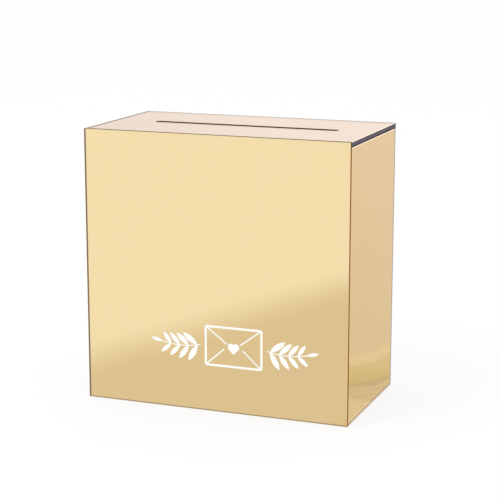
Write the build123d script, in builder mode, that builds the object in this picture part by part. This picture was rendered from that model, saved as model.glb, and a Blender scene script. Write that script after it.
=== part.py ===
from build123d import *

import os

# Wedding card box: five sheets of gold mirror acrylic glued into an open-topped box, closed by a
# loose lid with a long card slot. Millimetres. The origin is on the table at the middle of the
# footprint. +X points to the right seen from the front, +Y to the back and +Z up.

# ---- Driving dimensions ----
box_width = 254.0  # X, over the front panel
box_depth = 139.7  # Y, over the front and back panels
box_height = 254.0  # Z, to the top of the lid
sheet = 3.0  # thickness of every sheet
edge_break = 0.3  # tiny bevel around each sheet's outer face

lid_gap = 0.35  # free gap between the lid and the front or back panel
side_gap = 2.3  # finger gap between the lid's underside and a side panel's top edge

slot_length = 180.0
slot_width = 8.0
slot_shift = 3.5  # the slot's centre lies this far right of the middle

post_size = 8.0  # side of a corner post
post_bevel = 3.0  # bevel on a post's inner edge
locator_height = 8.0
locator_gap = 0.5  # between a locator strip and the side panel beside it
locator_end_gap = 1.0  # between a locator strip's end and the corner post

# ---- White decal: an envelope between two leafy sprigs ----
decal_thickness = 0.15
decal_x = 19.0  # centre of the decal on the front panel
decal_z = 62.0
envelope_width = 56.0
envelope_height = 38.0
envelope_corner = 2.5
outline = 2.0  # width of the envelope's outline
fold_line = 1.2  # width of the flap and fold lines
flap_tip = -2.0  # height of the flap's tip from the decal's centre
fold_end = 9.0  # a lower fold stops this far from the decal's middle
heart_size = 6.5  # side of the square between the heart's two lobes
heart_margin = 1.4  # clear border around the heart
sprig_start = 32.0  # where a sprig's stem begins, from the decal's centre
sprig_end = 71.0
sprig_sag = 2.4  # how far the stem bows down in its middle
stem_width = 0.9
leaf_pairs = 4  # and one more leaf at the tip
first_leaf_at = 0.08  # where the leaves grow, as shares of the stem
last_leaf_at = 0.97
first_leaf_length = 18.0  # the leaves get shorter towards the tip
last_leaf_length = 11.5
leaf_aspect = 0.30  # a leaf's width over its length
leaf_angle = 48.0  # between a leaf and the stem

# ---- Derived dimensions ----
inside_width = box_width - 2 * sheet
inside_depth = box_depth - 2 * sheet
lid_depth = inside_depth - 2 * lid_gap
lid_underside = box_height - sheet
side_height = lid_underside - side_gap
post_x = (inside_width - post_size) / 2
post_y = (inside_depth - post_size) / 2
locator_x = (inside_width - sheet) / 2 - locator_gap
locator_length = inside_depth - 2 * (post_size + locator_end_gap)

os.makedirs("parts", exist_ok=True)


# ---- Front and back panels: full sheets that cover the side panels' upright edges ----
with BuildPart() as front_panel:
    with BuildSketch(Plane.XZ.offset(box_depth / 2)):
        Rectangle(box_width, box_height, align=(Align.CENTER, Align.MIN))
    extrude(amount=-sheet)
    outer_face = front_panel.faces().sort_by(Axis.Y)[0]
    chamfer(outer_face.edges(), length=edge_break)
front_panel.part.label = "front_panel"
export_step(front_panel.part, "parts/front_panel.step")

with BuildPart() as back_panel:
    mirror(front_panel.part, about=Plane.XZ)
back_panel.part.label = "back_panel"
export_step(back_panel.part, "parts/back_panel.step")


# ---- Side panels: between the front and back panels, stopping short of the lid ----
with BuildPart() as right_panel:
    with BuildSketch(Plane.YZ.offset(box_width / 2)):
        Rectangle(inside_depth, side_height, align=(Align.CENTER, Align.MIN))
    extrude(amount=-sheet)
    outer_face = right_panel.faces().sort_by(Axis.X)[-1]
    chamfer(outer_face.edges().filter_by(Axis.Y), length=edge_break)
right_panel.part.label = "right_panel"
export_step(right_panel.part, "parts/right_panel.step")

with BuildPart() as left_panel:
    mirror(right_panel.part, about=Plane.YZ)
left_panel.part.label = "left_panel"
export_step(left_panel.part, "parts/left_panel.step")


# ---- Base panel: the floor, inside the four walls and level with their lower edges ----
with BuildPart() as base_panel:
    with BuildSketch():
        Rectangle(inside_width, inside_depth)
    extrude(amount=sheet)
base_panel.part.label = "base_panel"
export_step(base_panel.part, "parts/base_panel.step")


# ---- Lid: nests between the front and back panels, level with their top edges ----
with BuildPart() as lid_panel:
    with BuildSketch(Plane.XY.offset(box_height)):
        Rectangle(box_width, lid_depth)
        with Locations((slot_shift, 0)):
            SlotOverall(slot_length, slot_width, mode=Mode.SUBTRACT)
    extrude(amount=-sheet)
    top_face = lid_panel.faces().sort_by(Axis.Z)[-1]
    chamfer(top_face.edges(), length=edge_break)
lid_panel.part.label = "lid_panel"
export_step(lid_panel.part, "parts/lid_panel.step")


# ---- Lid locators: strips on edge under the lid, just inside the side panels ----
for end, side in (("left", -1), ("right", 1)):
    with BuildPart() as lid_locator:
        with BuildSketch(Plane.XY.offset(lid_underside)):
            with Locations((side * locator_x, 0)):
                Rectangle(sheet, locator_length)
        extrude(amount=-locator_height)
    lid_locator.part.label = f"lid_locator_{end}"
    export_step(lid_locator.part, f"parts/lid_locator_{end}.step")


# ---- Corner posts: square bars from the base panel up to the lid, bevelled towards the inside ----
for end, side in (("left", -1), ("right", 1)):
    for face, depth_sign in (("front", -1), ("back", 1)):
        with BuildPart() as corner_post:
            with BuildSketch(Plane.XY.offset(sheet)):
                with Locations((side * post_x, depth_sign * post_y)):
                    Rectangle(post_size, post_size)
            extrude(amount=lid_underside - sheet)
            upright_edges = corner_post.edges().filter_by(Axis.Z)
            inner_edge = upright_edges.sort_by_distance((0, 0, box_height / 2))[0]
            chamfer(inner_edge, length=post_bevel)
        corner_post.part.label = f"corner_post_{face}_{end}"
        export_step(corner_post.part, f"parts/corner_post_{face}_{end}.step")


# ---- Decal: one leaf, then one sprig, then the envelope with its heart seal ----
def leaf(length):
    """A pointed leaf along +X with its root at the origin: where two equal circles overlap."""
    width = length * leaf_aspect
    radius = (length**2 + width**2) / (4 * width)
    centre_offset = radius - width / 2
    with BuildSketch(mode=Mode.PRIVATE) as outline_sketch:
        with Locations((length / 2, centre_offset)):
            Circle(radius)
        with Locations((length / 2, -centre_offset)):
            Circle(radius, mode=Mode.INTERSECT)
    return outline_sketch.sketch


with BuildLine() as stem_line:
    middle = (sprig_start + sprig_end) / 2
    stem = ThreePointArc((sprig_start, 0), (middle, -sprig_sag), (sprig_end, 0))

with BuildSketch() as sprig:
    trace(stem_line.line, line_width=stem_width)
    for number in range(leaf_pairs + 1):
        share = number / leaf_pairs
        length = first_leaf_length + share * (last_leaf_length - first_leaf_length)
        station = first_leaf_at + share * (last_leaf_at - first_leaf_at)
        root = stem @ station
        heading = stem.tangent_angle_at(station)
        leans = (-leaf_angle, leaf_angle) if number < leaf_pairs else (0,)
        for lean in leans:
            with Locations(Location((root.X, root.Y, 0), (0, 0, heading + lean))):
                add(leaf(length))

with BuildSketch() as heart:
    Rectangle(heart_size, heart_size, rotation=45)
    lobe = heart_size / 2 / 2**0.5
    with Locations((-lobe, lobe), (lobe, lobe)):
        Circle(heart_size / 2)

with BuildSketch() as motif:
    RectangleRounded(envelope_width, envelope_height, envelope_corner)
    RectangleRounded(
        envelope_width - 2 * outline,
        envelope_height - 2 * outline,
        envelope_corner - outline,
        mode=Mode.SUBTRACT,
    )
    half_width = (envelope_width - outline) / 2
    half_height = (envelope_height - outline) / 2
    with BuildLine():
        Polyline((-half_width, half_height), (0, flap_tip), (half_width, half_height))
    trace(line_width=fold_line)
    for side in (-1, 1):
        with BuildLine():
            Line((side * half_width, -half_height), (side * fold_end, flap_tip))
        trace(line_width=fold_line)
    with Locations((0, flap_tip)):
        add(offset(heart.sketch, amount=heart_margin, mode=Mode.PRIVATE), mode=Mode.SUBTRACT)
        add(heart.sketch)
    add(sprig.sketch)
    mirror(sprig.sketch, about=Plane.YZ)

with BuildPart() as front_decal:
    with BuildSketch(Plane.XZ.offset(box_depth / 2)):
        with Locations((decal_x, decal_z)):
            add(motif.sketch)
    extrude(amount=decal_thickness)
front_decal.part.label = "front_decal"
export_step(front_decal.part, "parts/front_decal.step")
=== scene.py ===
import math

import bpy
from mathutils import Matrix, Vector


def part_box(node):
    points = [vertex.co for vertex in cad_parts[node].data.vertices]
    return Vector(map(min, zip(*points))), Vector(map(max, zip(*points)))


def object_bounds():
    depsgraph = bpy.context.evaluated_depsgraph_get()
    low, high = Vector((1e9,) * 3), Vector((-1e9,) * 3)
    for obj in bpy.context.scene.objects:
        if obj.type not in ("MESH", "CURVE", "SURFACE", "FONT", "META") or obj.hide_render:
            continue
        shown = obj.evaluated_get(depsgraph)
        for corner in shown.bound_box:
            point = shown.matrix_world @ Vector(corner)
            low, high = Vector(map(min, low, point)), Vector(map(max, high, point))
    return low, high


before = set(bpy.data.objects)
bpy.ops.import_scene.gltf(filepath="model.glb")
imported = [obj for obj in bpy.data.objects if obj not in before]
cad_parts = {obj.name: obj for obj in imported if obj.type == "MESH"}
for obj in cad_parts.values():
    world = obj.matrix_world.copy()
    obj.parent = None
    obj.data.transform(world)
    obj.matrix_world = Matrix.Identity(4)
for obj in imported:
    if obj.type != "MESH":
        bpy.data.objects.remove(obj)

# Looks of the wedding card box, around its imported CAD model. Metres, +Z up, the front faces -Y.
# Every sheet is gold mirror acrylic: a clear 3 mm sheet with a mirror film and grey paint behind
# it. The CAD sheets keep their shape and get their finish here, face by face. The table and the
# surroundings have one plain look of their own and another that only the mirrors show.

cad_low, cad_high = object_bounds()
centre = (cad_low + cad_high) / 2
side_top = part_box("right_panel")[1].z  # the side panels stop just below the lid

# ---- The view: the camera looks down at the front from the right ----
VIEW_AZIMUTH = 21.07  # degrees, 0 looks along +Y
VIEW_ELEVATION = 12.11
VIEW_DISTANCE = 1.442
AIM_OFFSET = Vector((0.0081, 0.0, 0.0104))  # from the middle of the box
LENS = 111.06
SENSOR = 36.0

# ---- Colours of the box, linear RGB ----
GOLD = (0.901, 0.719, 0.389)  # the mirror film seen through the tinted sheet
BEVEL_GOLD = (1.0, 0.81, 0.48)
BEVEL_AMBER = (0.90, 0.58, 0.16)  # the front and back panels' upright bevels, beside a brown edge
RIM = (0.19, 0.135, 0.085)  # a cut edge seen from inside the sheet
LID_RIM = (0.30, 0.26, 0.26)
EDGE_BROWN = (0.20, 0.048, 0.002)  # a cut edge seen from the mirror's side of the sheet: painted reflection of the gold film inside it
EDGE_LILAC = (0.150, 0.120, 0.150)  # seen along the sheet: painted reflection of the dark film and paint inside it
EDGE_PALE = (0.44, 0.38, 0.38)  # seen from the paint's side: painted light from outside, seen through the clear sheet
TOP_EDGE = (0.07, 0.04, 0.025)
# Painted shadow: the front and back panels' upright cut edges go near black beside the lid, where
# the gap is in shade
EDGE_SHADOW_BESIDE_LID = (0.02, 0.012, 0.010)
EDGE_UNDER_LID = (0.37, 0.30, 0.37)  # some light also comes up through the sheet
SLOT_WALL = (0.15, 0.030, 0.004)
BACK_PAINT = (0.33, 0.34, 0.36)
POST_CLEAR = (0.50, 0.51, 0.54)  # clear acrylic against the grey paint behind it
# Painted shade: the frosted strips are tinted a darker lilac grey, because the gap under the lid
# where they show is in shade
FROSTED_GAP_SHADE = (0.60, 0.545, 0.61)
VINYL = (0.93, 0.93, 0.905)

# ---- The sheet ----
ACRYLIC_IOR = 1.49
PAINT_LINE = 0.00012  # thickness of film and paint where they show on a cut edge
RIM_BLUR = 0.0001  # half the width of the soft border where a cut edge starts to show through
LID_GLOW = 0.0015  # how far light from the lid's cut edges spreads in over its mirror
SLOT_RIM = 0.4  # how strongly the slot's wall shows through the lid's mirror
RIM_COAT = 0.08  # how much of the clear coat's gloss is left over such a rim
LILAC_VIEW = (-0.6, 0.1)  # a cut edge turns from pale to lilac as the eye leaves the paint's side
BROWN_VIEW = (0.25, 0.7)  # and to brown as it moves round to the mirror's side
FRONT_VIEW = (-0.1, 0.3)  # a top edge turns dark as the eye moves round to the mirror's side
HAZE = 0.985  # the film's colour where it is darkest, as a share of its plain colour
ROLLER_MARK = 0.86  # and the paint's
SAW_SHADE = (0.75, 1.25)

FILM_ROUGHNESS, SMUDGE_ROUGHNESS = 0.032, 0.050
BEVEL_ROUGHNESS = 0.10
COAT_ROUGHNESS = 0.03
EDGE_ROUGHNESS = (0.22, 0.4)
PAINT_ROUGHNESS = 0.5
PAINT_GLOSS = 0.3
VINYL_ROUGHNESS = (0.38, 0.52)
VINYL_IOR = 1.46

# How fine each pattern is, in noise cells per metre, and how high it stands.
HAZE_SCALE = 9.0
SMUDGE_SCALE = 34.0
ROLLER_SCALE = 46.0
ROLLER_STRETCH = (1.0, 1.0, 0.35)  # the roller went up and down
SAW_ALONG, SAW_THROUGH, SAW_HEIGHT = 3600.0, 260.0, 0.000008  # along and through the sheet
SWELL_SCALE, SWELL_HEIGHT = 7.0, 0.00009
GRAIN_SCALE, GRAIN_HEIGHT = 1500.0, 0.00002
POLISH_SCALE, POLISH_HEIGHT = (2400.0, 2400.0, 60.0), 0.00001
TINT_SCALE = 30.0
MOTTLE_SCALE = 60.0
SKIN_SCALE, SKIN_HEIGHT = 2600.0, 0.00001

# Each sheet's outward direction and how strongly its cut edges across X, Y and Z show through the
# mirror. Edges glued to another sheet hardly show. Light from the table fills the lower ones.
SHEETS = {
    "front_panel": ((0.0, -1.0, 0.0), (1.0, 0.0, 0.8)),
    "back_panel": ((0.0, 1.0, 0.0), (1.0, 0.0, 0.8)),
    "left_panel": ((-1.0, 0.0, 0.0), (0.0, 0.06, 0.8)),
    "right_panel": ((1.0, 0.0, 0.0), (0.0, 0.06, 0.8)),
    "base_panel": ((0.0, 0.0, -1.0), (0.06, 0.06, 0.0)),
}
LID_SHEET = ((0.0, 0.0, 1.0), (1.0, 0.4, 0.0))

# ---- The table as the mirrors show it, with painted light and shade: white on the left, warm shade past a soft slanting line ----
WHITE = (1.0, 1.0, 1.0)
# Painted shade: past the line the table is darker and warmer. It stays white where light falls on
# the left
TABLE_SHADE = (0.80, 0.745, 0.675)
SHADE_LINE = Vector((-0.183, -0.193, 0.0))  # a point on the line
SHADE_SIDE = Vector((0.941, 0.338, 0.0))  # from the line towards the painted shade
SHADE_TURN = (-0.065, 0.062)  # where white starts to turn and where the painted shade is full, from the line

# ---- Painted light close to the box's right side: golden bands thrown onto the table by its gold mirror, with darker lines of shade between them. Reach and colour ----
THROWN_LIGHT_BANDS = [
    (0.000, (0.71, 0.595, 0.40)),  # a beige strip nearest the box
    (0.013, (0.69, 0.575, 0.385)),
    (0.017, (0.60, 0.50, 0.31)),  # a dark line
    (0.0205, (0.59, 0.49, 0.295)),
    (0.0235, (0.69, 0.565, 0.315)),  # the brightest band of painted golden light
    (0.038, (0.715, 0.60, 0.345)),
    (0.052, (0.745, 0.62, 0.375)),
    (0.0545, (0.725, 0.605, 0.37)),  # its thin darker border
    (0.058, (0.79, 0.665, 0.43)),  # a paler band
    (0.074, (0.84, 0.705, 0.485)),
    (0.084, (0.78, 0.645, 0.46)),  # the open table, paler further out
    (0.200, (0.79, 0.665, 0.50)),
    (0.450, (0.82, 0.70, 0.54)),
    (1.000, (0.86, 0.725, 0.585)),
]
BAND_AXIS = 0.045  # the bands are hyperbolas between this Y and the box's side
BAND_WOBBLE, WOBBLE_SCALE = 0.003, 16.0
BAND_BEND = 0.0045  # how much further out they run beside the box's back corner
BEND_RISE, BEND_FALL = (0.060, 0.082), (0.130, 0.095)  # along Y
STREAK_REACH = (0.018, 0.013)  # nearest the side there are faint streaks
STREAK_SHADE = (0.955, 1.025)
STREAK_ACROSS = (112.0, 84.0, 0.0)  # their noise cells per metre, across and along them
STREAK_ALONG = (-12.0, 16.0, 0.0)
FRONT_PATCH = (0.79, 0.665, 0.465)  # where the bands end, beside the middle of the box
FRONT_PATCH_START = (0.016, 0.006)  # along Y
PLAIN_START = (0.08, 0.20)  # further from the side the bands lose their curves
PLAIN_SPREAD = 1.5  # and their reach grows this fast with the distance
BANDS_START_X = (0.10, cad_high.x)  # where the bands appear on the table
BANDS_START_Y = (-0.12, -0.04)

# ---- The surroundings as the mirrors show them ----
TABLE_END = (2.0, 5.0)  # the table runs over into the horizon between these distances
HORIZON_WARM = (0.87, 0.79, 0.76)
HORIZON_TURN = (-0.3, 0.9)  # from white on the left to warm on the right
ABOVE_START = (0.0, 0.1)
ABOVE = [  # from level to straight up
    (0.00, WHITE),
    (0.08, (0.945, 0.84, 0.80)),
    (0.45, (0.90, 0.82, 0.80)),
    (1.00, (0.80, 0.76, 0.76)),
]
LEFT_SHADE = 0.935  # a little darker far on the left
LEFT_TURN = (-0.33, -0.45)
# Softboxes that only the bevels catch from the front: direction, half width, brightness.
SOFTBOXES = [
    ((0.21, 0.91, 0.35), 0.16, 1.45),
    ((-0.35, -0.21, 0.91), 0.30, 0.5),
]
SOFTBOX_BORDER = 1.4  # how far its soft border reaches, in half widths

# ---- The floor and the lamp as the camera sees them ----
FLOOR_HALF = 12.0
FLOOR_DROP = 0.0002  # below the box, so that the two don't share a plane
FLOOR_COLOURS = (0.97, 0.97, 0.965), (0.95, 0.95, 0.945)  # its paper is faintly mottled
FLOOR_GLOW = 0.78  # how much of the floor's white is light of its own
FIBRE_SCALE = 900.0
LAMP_PLACE = (-1.2, -1.5, 2.0)
LAMP_SIZE = 1.4
LAMP_POWER = 14.0


class Nodes:
    """Short calls that add nodes to one node tree. Inputs are numbers, colours or sockets."""

    def __init__(self, tree):
        self.tree = tree
        tree.nodes.clear()

    def add(self, kind, inputs=None, **settings):
        node = self.tree.nodes.new("ShaderNode" + kind)
        for name, value in settings.items():
            setattr(node, name, value)
        for key, value in (inputs or {}).items():
            self.feed(node.inputs[key], value)
        return node

    def feed(self, socket, value):
        if isinstance(value, bpy.types.NodeSocket):
            self.tree.links.new(value, socket)
        elif socket.type == "RGBA":
            socket.default_value = (*value[:3], 1.0)
        else:
            socket.default_value = value

    def place(self):
        """The point being shaded. Every piece's own axes are the world's."""
        return self.add("TexCoord").outputs["Object"]

    def normal(self):
        return self.add("NewGeometry").outputs["True Normal"]

    def to_eye(self):
        return self.add("NewGeometry").outputs["Incoming"]

    def in_mirror(self):
        """1 where the eye sees this by way of a mirror, 0 where it looks straight at it."""
        return self.add("LightPath").outputs["Is Glossy Ray"]

    def math(self, operation, a, b=0.0):
        return self.add("Math", {0: a, 1: b}, operation=operation).outputs[0]

    def plus(self, a, b):
        return self.math("ADD", a, b)

    def minus(self, a, b):
        return self.math("SUBTRACT", a, b)

    def times(self, a, b):
        return self.math("MULTIPLY", a, b)

    def over(self, a, b):
        """1 where a is more than b, 0 elsewhere."""
        return self.math("GREATER_THAN", a, b)

    def vector(self, operation, a, b=(0.0, 0.0, 0.0)):
        node = self.add("VectorMath", {0: a, 1: b}, operation=operation)
        single = operation in ("DOT_PRODUCT", "LENGTH")
        return node.outputs["Value" if single else "Vector"]

    def dot(self, a, b):
        return self.vector("DOT_PRODUCT", a, tuple(b))

    def scaled(self, vector, factor):
        node = self.add("VectorMath", {0: vector, "Scale": factor}, operation="SCALE")
        return node.outputs["Vector"]

    def parts(self, vector):
        return self.add("SeparateXYZ", {0: vector}).outputs

    def pair(self, x, y):
        return self.add("CombineXYZ", {0: x, 1: y}).outputs[0]

    def mix(self, factor, a, b):
        """Colour a where factor is 0 and colour b where it is 1."""
        node = self.add("Mix", {0: factor, 6: a, 7: b}, data_type="RGBA")
        return node.outputs[2]

    def blend(self, factor, a, b):
        """Number a where factor is 0 and number b where it is 1."""
        return self.add("Mix", {0: factor, 2: a, 3: b}, data_type="FLOAT").outputs[0]

    def smooth(self, value, start, end, low=0.0, high=1.0):
        """Runs smoothly from low at start to high at end."""
        node = self.add(
            "MapRange",
            {"Value": value, "From Min": start, "From Max": end, "To Min": low, "To Max": high},
            interpolation_type="SMOOTHSTEP",
        )
        return node.outputs[0]

    def share(self, value, start, end):
        """0 at start and 1 at end, in a straight line."""
        inputs = {"Value": value, "From Min": start, "From Max": end}
        return self.add("MapRange", inputs).outputs[0]

    def noise(self, place, scale, detail=2.0, roughness=0.5):
        inputs = {"Vector": place, "Scale": scale, "Detail": detail, "Roughness": roughness}
        return self.add("TexNoise", inputs).outputs[0]

    def ramp(self, value, stops, interpolation):
        """Colour stops as (place, colour) pairs, places from 0 to 1."""
        node = self.add("ValToRGB", {0: value})
        colours = node.color_ramp
        colours.interpolation = interpolation
        while len(colours.elements) < len(stops):
            colours.elements.new(1.0)
        for element, (place, colour) in zip(colours.elements, stops):
            element.position = place
            element.color = (*colour, 1.0)
        return node.outputs[0]

    def bump(self, height, distance, strength):
        inputs = {"Height": height, "Distance": distance, "Strength": strength}
        return self.add("Bump", inputs).outputs[0]

    def principled(self, inputs):
        """Makes one Principled shader the material's surface."""
        self.surface(self.add("BsdfPrincipled", inputs))

    def surface(self, shader):
        self.add("OutputMaterial", {"Surface": shader.outputs[0]})


def dimmed(colour, factor):
    return tuple(factor * part for part in colour)


def new_material(name):
    material = bpy.data.materials.new(name)
    material.use_nodes = True
    return material, Nodes(material.node_tree)


def dress(node_name, material):
    """Gives a CAD node one material."""
    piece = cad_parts[node_name]
    piece.data.materials.clear()
    piece.data.materials.append(material)
    for polygon in piece.data.polygons:
        polygon.material_index = 0


# ---- Gold mirror acrylic ----
def card_slot():
    """The lid slot's middle, half the length of its straight part, and its end radius."""
    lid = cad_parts["lid_panel"].data
    well_inside = max(v.co.y for v in lid.vertices) / 2
    points = [v.co for v in lid.vertices if abs(v.co.y) < well_inside]
    left, right = min(p.x for p in points), max(p.x for p in points)
    # The slot's narrowest outline is its wall, just below the bevel around its mouth.
    wall = [p for p in points if p.z < cad_high.z - 0.001]
    radius = max(p.y for p in wall)
    middle = (left + right) / 2
    half = max(p.x for p in wall) - middle - radius
    return middle, half, radius


def look_through(n, place, outward, low, high, rims, slot):
    """How much of a cut edge the eye meets, 0 to 1, after its line of sight has crossed the clear
    sheet to the film and come back out. rims holds the strength of the edges across X, Y and Z."""
    glow = LID_GLOW if slot else 0.0
    thickness = abs((high - low).dot(outward))
    to_eye = n.to_eye()
    cosine = n.dot(to_eye, outward)
    sideways = n.vector("SUBTRACT", to_eye, n.scaled(tuple(outward), cosine))
    # Inside the sheet the line of sight is steeper, by the law of refraction.
    under_root = n.plus(n.times(cosine, cosine), ACRYLIC_IOR**2 - 1)
    stretch = n.math("DIVIDE", 2 * thickness, n.math("SQRT", under_root))
    leaves = n.vector("SUBTRACT", place, n.scaled(sideways, stretch))
    from_low = n.vector("SUBTRACT", leaves, tuple(low))
    from_high = n.vector("SUBTRACT", tuple(high), leaves)
    margins = n.parts(n.vector("MINIMUM", from_low, from_high))
    found = 0.0
    for axis, strength in enumerate(rims):
        if strength:
            outside = n.smooth(margins[axis], glow + RIM_BLUR, glow - RIM_BLUR, 0.0, strength)
            found = n.math("MAXIMUM", found, outside)
    if slot:
        middle, half, radius = slot
        spot = n.parts(leaves)
        along = n.math("ABSOLUTE", n.minus(spot[0], middle))
        past_end = n.math("MAXIMUM", n.minus(along, half), 0.0)
        from_middle = n.vector("LENGTH", n.pair(past_end, spot[1]))
        inside = n.smooth(from_middle, radius + RIM_BLUR, radius - RIM_BLUR, 0.0, SLOT_RIM)
        found = n.math("MAXIMUM", found, inside)
    return found


def beside_slot(n, place, slot):
    """1 on and around the lid's slot, 0 elsewhere."""
    middle, half, radius = slot
    spot = n.parts(n.vector("ABSOLUTE", n.vector("SUBTRACT", place, (middle, 0.0, 0.0))))
    near_x = n.over(half + 2 * radius, spot[0])
    near_y = n.over(2 * radius, spot[1])
    return n.times(near_x, near_y)


def cut_edge(n, place, normal, outward, depth, thickness, slot):
    """A cut edge's colour: painted reflections and light, brown, lilac or pale with the side it is
    seen from, under fine saw marks, with the paint as a line. Returns the saw marks too."""
    side = n.dot(n.to_eye(), outward)
    across_x, _, across_z = n.parts(normal)
    colour = n.mix(n.smooth(side, *LILAC_VIEW), EDGE_PALE, EDGE_LILAC)
    colour = n.mix(n.smooth(side, *BROWN_VIEW), colour, EDGE_BROWN)
    if slot:
        colour = n.mix(beside_slot(n, place, slot), colour, SLOT_WALL)
    if outward.y:
        # Painted shadow: beside the lid, the front and back panels' upright cut edges turn near
        # black
        beside_lid = n.over(n.parts(place)[2], side_top)
        shadowed_end = n.times(beside_lid, n.math("ABSOLUTE", across_x))
        colour = n.mix(shadowed_end, colour, EDGE_SHADOW_BESIDE_LID)
        seen_from_front = n.times(n.smooth(side, *FRONT_VIEW), across_z)
        colour = n.mix(seen_from_front, colour, TOP_EDGE)
    if outward.x:
        colour = n.mix(n.over(across_z, 0.5), colour, EDGE_UNDER_LID)
    saw_scale = tuple(SAW_THROUGH if value else SAW_ALONG for value in outward)
    saw = n.noise(n.vector("MULTIPLY", place, saw_scale), 1.0)
    colour = n.scaled(colour, n.smooth(saw, 0.3, 0.8, *SAW_SHADE))
    paint_line = n.over(depth, thickness - PAINT_LINE)
    return n.mix(paint_line, colour, BACK_PAINT), saw


def mirror_sheet(node_name, outward, rims, rim_colour=RIM, slot=None):
    """Mirror on the face that points outward, grey paint behind, dark clear cut edges."""
    low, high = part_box(node_name)
    outward = Vector(outward)
    thickness = abs((high - low).dot(outward))
    material, n = new_material(node_name + "_mirror")
    place = n.place()
    normal = n.normal()
    facing = n.dot(normal, outward)
    is_mirror = n.over(facing, 0.5)  # the flat face and the bevel around it
    is_flat = n.over(facing, 0.9)
    is_paint = n.over(-0.5, facing)
    face_height = max(low.dot(outward), high.dot(outward))
    depth = n.minus(face_height, n.dot(place, outward))

    # Mirror: the film, with a dim rim where the sheet's own cut edge shows through it.
    at_rim = n.times(look_through(n, place, outward, low, high, rims, slot), is_flat)
    if slot:
        # The slot's mouth bevel takes the same dark colour as its wall.
        at_slot = beside_slot(n, place, slot)
        rim_colour = n.mix(at_slot, rim_colour, SLOT_WALL)
        at_mouth = n.times(at_slot, n.minus(is_mirror, is_flat))
        at_rim = n.math("MAXIMUM", at_rim, at_mouth)
    haze = n.noise(place, HAZE_SCALE, 3.0)
    film = n.mix(n.smooth(haze, 0.35, 0.75), GOLD, dimmed(GOLD, HAZE))
    bevel = BEVEL_GOLD
    if outward.y:
        across_x = n.math("ABSOLUTE", n.parts(normal)[0])
        bevel = n.mix(n.over(across_x, 0.5), BEVEL_GOLD, BEVEL_AMBER)
    film = n.mix(is_flat, bevel, film)
    film = n.mix(at_rim, film, rim_colour)
    smudge = n.smooth(n.noise(place, SMUDGE_SCALE, 5.0, 0.62), 0.52, 0.8)
    film_roughness = n.blend(smudge, FILM_ROUGHNESS, SMUDGE_ROUGHNESS)
    film_roughness = n.blend(is_flat, BEVEL_ROUGHNESS, film_roughness)

    edge, saw = cut_edge(n, place, normal, outward, depth, thickness, slot)
    edge_roughness = n.smooth(saw, 0.2, 0.8, *EDGE_ROUGHNESS)

    # Paint: matt grey with a soft roller mark.
    roller = n.noise(n.vector("MULTIPLY", place, ROLLER_STRETCH), ROLLER_SCALE, 4.0, 0.6)
    paint = n.mix(n.smooth(roller, 0.3, 0.7), BACK_PAINT, dimmed(BACK_PAINT, ROLLER_MARK))

    # The sheet is never quite flat, the paint has grain and the saw marks stand out a little.
    swell = n.times(n.noise(place, SWELL_SCALE, 1.0), SWELL_HEIGHT)
    grain = n.times(n.noise(place, GRAIN_SCALE), GRAIN_HEIGHT)
    height = n.blend(is_mirror, n.times(saw, SAW_HEIGHT), swell)
    bumps = n.bump(n.blend(is_paint, height, grain), 1.0, 1.0)

    roughness = n.blend(is_mirror, edge_roughness, film_roughness)
    n.principled(
        {
            "Base Color": n.mix(is_paint, n.mix(is_mirror, edge, film), paint),
            "Metallic": n.times(is_mirror, n.minus(1.0, at_rim)),
            "Roughness": n.blend(is_paint, roughness, PAINT_ROUGHNESS),
            "IOR": ACRYLIC_IOR,
            "Specular IOR Level": n.times(is_paint, PAINT_GLOSS),
            "Coat Weight": n.times(is_mirror, n.blend(at_rim, 1.0, RIM_COAT)),
            "Coat IOR": ACRYLIC_IOR,
            "Coat Roughness": COAT_ROUGHNESS,
            "Normal": bumps,
            "Coat Normal": bumps,
        }
    )
    dress(node_name, material)


# ---- Clear acrylic, for the posts and the lid's locator strips ----
def clear_material(name, colour, clearness, low_roughness):
    """Clear acrylic, more or less frosted, with upright polishing marks."""
    material, n = new_material(name)
    place = n.place()
    marks = n.noise(n.vector("MULTIPLY", place, POLISH_SCALE), 1.0, 3.0)
    n.principled(
        {
            "Base Color": n.mix(n.noise(place, TINT_SCALE), colour, dimmed(colour, 0.96)),
            "Roughness": n.smooth(marks, 0.3, 0.8, low_roughness, low_roughness + 0.1),
            "IOR": ACRYLIC_IOR,
            "Transmission Weight": clearness,
            "Normal": n.bump(marks, POLISH_HEIGHT, 0.6),
        }
    )
    return material


# ---- White vinyl film, for the decal ----
def vinyl_material():
    material, n = new_material("white_vinyl")
    place = n.place()
    mottle = n.noise(place, MOTTLE_SCALE, 3.0)
    skin = n.noise(place, SKIN_SCALE)
    n.principled(
        {
            "Base Color": n.mix(n.smooth(mottle, 0.3, 0.8), VINYL, dimmed(VINYL, 0.98)),
            "Roughness": n.smooth(skin, 0.2, 0.8, *VINYL_ROUGHNESS),
            "IOR": VINYL_IOR,
            "Normal": n.bump(skin, SKIN_HEIGHT, 0.5),
        }
    )
    return material


# ---- The studio: pale floor, white surroundings, one soft lamp ----
def thrown_light_colour(n, reach):
    """The colour of the painted golden light at a reach."""
    start, end = THROWN_LIGHT_BANDS[0][0], THROWN_LIGHT_BANDS[-1][0]
    stops = [((at - start) / (end - start), colour) for at, colour in THROWN_LIGHT_BANDS]
    return n.ramp(n.share(reach, start, end), stops, "LINEAR")


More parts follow.
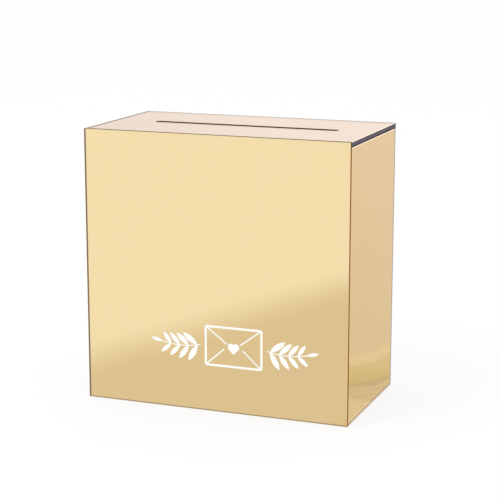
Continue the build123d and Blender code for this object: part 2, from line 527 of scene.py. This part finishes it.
def thrown_light_in_mirror(n, place):
    """The curved bands of painted golden light and shade on the table, close to the box's right
    side.
    """
    x, y, _ = n.parts(place)
    from_side = n.minus(x, cad_high.x)
    product = n.times(from_side, n.minus(y, BAND_AXIS))
    wobble = n.smooth(n.noise(place, WOBBLE_SCALE, 1.0), 0.2, 0.8, -BAND_WOBBLE, BAND_WOBBLE)
    bend = n.times(n.smooth(y, *BEND_RISE, 0.0, BAND_BEND), n.smooth(y, *BEND_FALL))
    reach = n.plus(n.math("SQRT", n.math("MAXIMUM", product, 0.0)), wobble)
    reach = n.minus(reach, bend)
    curved = n.mix(n.smooth(y, *FRONT_PATCH_START), thrown_light_colour(n, reach), FRONT_PATCH)

    # Nearest the side a few faint streaks run roughly along the bands.
    streaks = n.noise(n.pair(n.dot(place, STREAK_ACROSS), n.dot(place, STREAK_ALONG)), 1.0)
    shade = n.smooth(streaks, 0.35, 0.65, *STREAK_SHADE)
    curved = n.scaled(curved, n.blend(n.smooth(reach, *STREAK_REACH), 1.0, shade))

    # Further out the bands only follow the distance from the side.
    plain = thrown_light_colour(n, n.times(from_side, PLAIN_SPREAD))
    return n.mix(n.smooth(from_side, *PLAIN_START), curved, plain)


def table_in_mirror(n, place):
    """The table as the mirrors show it, with its painted light and shade, out to the horizon."""
    past_line = n.minus(n.dot(place, SHADE_SIDE), SHADE_LINE.dot(SHADE_SIDE))
    table = n.mix(n.smooth(past_line, *SHADE_TURN), WHITE, TABLE_SHADE)
    x, y, _ = n.parts(place)
    beside = n.times(n.smooth(x, *BANDS_START_X), n.smooth(y, *BANDS_START_Y))
    table = n.mix(beside, table, thrown_light_in_mirror(n, place))
    far = n.smooth(n.vector("LENGTH", place), *TABLE_END)
    return n.mix(far, table, horizon_in_mirror(n, place))


def horizon_in_mirror(n, direction):
    """Surroundings near the horizon: white on the left, a little warmer on the right."""
    sideways = n.parts(n.vector("NORMALIZE", direction))[0]
    return n.mix(n.smooth(sideways, *HORIZON_TURN), WHITE, HORIZON_WARM)


def floor():
    mesh = bpy.data.meshes.new("floor")
    corners = [(x * FLOOR_HALF, y * FLOOR_HALF, 0) for x, y in ((-1, -1), (1, -1), (1, 1), (-1, 1))]
    mesh.from_pydata(corners, [], [(0, 1, 2, 3)])
    piece = bpy.data.objects.new("floor", mesh)
    piece.location.z = cad_low.z - FLOOR_DROP
    bpy.context.scene.collection.objects.link(piece)
    material, n = new_material("pale_floor")
    place = n.place()
    fibre = n.noise(place, FIBRE_SCALE, 3.0)
    matt = n.add("BsdfDiffuse", {"Color": n.mix(fibre, *FLOOR_COLOURS)})
    glow = n.add("Emission", {"Color": WHITE, "Strength": 1.0})
    pale = n.add("MixShader", {0: FLOOR_GLOW, 1: matt.outputs[0], 2: glow.outputs[0]})
    shown = n.add("Emission", {"Color": table_in_mirror(n, place), "Strength": 1.0})
    n.surface(n.add("MixShader", {0: n.in_mirror(), 1: pale.outputs[0], 2: shown.outputs[0]}))
    mesh.materials.append(material)


def surroundings():
    world = bpy.data.worlds.new("studio")
    world.use_nodes = True
    bpy.context.scene.world = world
    n = Nodes(world.node_tree)
    direction = n.add("TexCoord").outputs["Generated"]
    sideways, _, height = n.parts(direction)
    above = n.ramp(height, ABOVE, "EASE")
    above = n.scaled(above, n.smooth(sideways, *LEFT_TURN, 1.0, LEFT_SHADE))
    shown = n.mix(n.smooth(height, *ABOVE_START), horizon_in_mirror(n, direction), above)
    for towards, width, brightness in SOFTBOXES:
        nearness = n.dot(direction, Vector(towards).normalized())
        lit = n.smooth(nearness, math.cos(SOFTBOX_BORDER * width), math.cos(width))
        shown = n.mix(lit, shown, dimmed(WHITE, brightness))
    colour = n.mix(n.in_mirror(), WHITE, shown)
    background = n.add("Background", {"Color": colour, "Strength": 1.0})
    n.add("OutputWorld", {"Surface": background.outputs[0]})


def soft_lamp():
    data = bpy.data.lights.new("soft_lamp", "AREA")
    data.shape = "DISK"
    data.size = LAMP_SIZE
    data.energy = LAMP_POWER
    lamp = bpy.data.objects.new("soft_lamp", data)
    lamp.location = LAMP_PLACE
    lamp.rotation_euler = (centre - lamp.location).to_track_quat("-Z", "Y").to_euler()
    lamp.visible_glossy = False
    bpy.context.scene.collection.objects.link(lamp)


def camera():
    azimuth, elevation = math.radians(VIEW_AZIMUTH), math.radians(VIEW_ELEVATION)
    level = math.cos(elevation)
    towards_eye = Vector(
        (math.sin(azimuth) * level, -math.cos(azimuth) * level, math.sin(elevation))
    )
    data = bpy.data.cameras.new("camera")
    data.lens = LENS
    data.sensor_width = SENSOR
    eye = bpy.data.objects.new("camera", data)
    eye.location = centre + AIM_OFFSET + towards_eye * VIEW_DISTANCE
    eye.rotation_euler = towards_eye.to_track_quat("Z", "Y").to_euler()
    bpy.context.scene.collection.objects.link(eye)
    bpy.context.scene.camera = eye
    bpy.context.scene.view_settings.view_transform = "Standard"


for sheet_name, (outward, rims) in SHEETS.items():
    mirror_sheet(sheet_name, outward, rims)
mirror_sheet("lid_panel", *LID_SHEET, LID_RIM, card_slot())

polished = clear_material("clear_acrylic", POST_CLEAR, clearness=0.3, low_roughness=0.06)
frosted = clear_material("frosted_acrylic", FROSTED_GAP_SHADE, clearness=0.5, low_roughness=0.3)
for clear_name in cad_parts:
    if clear_name.startswith("corner_post"):
        dress(clear_name, polished)
    elif clear_name.startswith("lid_locator"):
        dress(clear_name, frosted)
dress("front_decal", vinyl_material())

floor()
surroundings()
soft_lamp()
camera()
